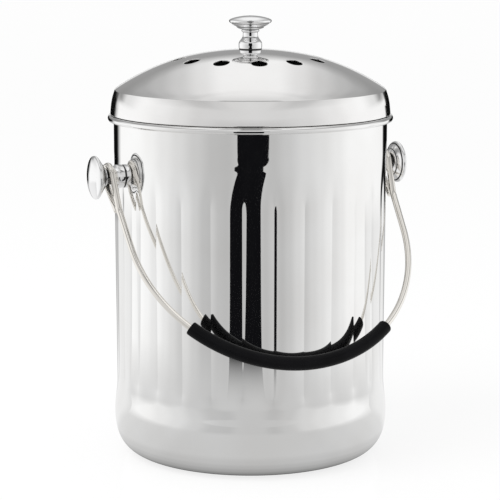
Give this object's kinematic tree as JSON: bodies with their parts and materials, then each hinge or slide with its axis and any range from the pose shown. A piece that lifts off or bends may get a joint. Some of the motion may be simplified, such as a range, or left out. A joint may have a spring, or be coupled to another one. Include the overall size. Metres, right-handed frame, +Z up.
{
  "type": "kitchen compost caddy",
  "caption": "Ribbed mirror-polished steel pail with a rolled rim, a swinging wire bail with a soft grip, and a vented domed lift-off lid with a charcoal filter.",
  "frame": {"origin": "centre of the foot ring, on the ground", "axes": "+Z up, X through the two handle studs, the bail rests on the -Y side"},
  "size_m": [0.218, 0.188, 0.2833],
  "materials": {
    "polished_steel": "mirror-polished stainless steel",
    "plated_steel": "bright zinc",
    "grip_rubber": "soft matte",
    "seal_rubber": "matte",
    "black_plastic": "fine matte",
    "charcoal_felt": "open fibre"
  },
  "bodies": {
    "pail": {"pail_shell": "polished_steel", "left_stud": "polished_steel", "left_stud_seal": "seal_rubber", "left_stud_washer": "plated_steel", "left_stud_screw": "plated_steel", "right_stud": "polished_steel", "right_stud_seal": "seal_rubber", "right_stud_washer": "plated_steel", "right_stud_screw": "plated_steel"},
    "handle": {"bail_wire": "polished_steel", "handle_grip": "grip_rubber"},
    "lid": {"lid_shell": "polished_steel", "lid_knob": "polished_steel", "lid_knob_washer": "plated_steel", "lid_knob_screw": "plated_steel", "filter_holder": "black_plastic"},
    "filter": {"filter_cover": "black_plastic", "upper_charcoal_pad": "charcoal_felt", "lower_charcoal_pad": "charcoal_felt"}
  },
  "joints": [
    {"name": "handle_swing", "type": "hinge", "parent": "pail", "child": "handle", "pos_m": [0, 0, 0.18435], "axis": [-1, 0, 0], "range_deg": [0, 279.6]},
    {"name": "lid_lift", "type": "slide", "parent": "pail", "child": "lid", "axis": [0, 0, 1], "range_m": [0, 0.12]},
    {"name": "filter_pull", "type": "slide", "parent": "lid", "child": "filter", "axis": [0, 0, -1], "range_m": [0, 0.04]}
  ]
}
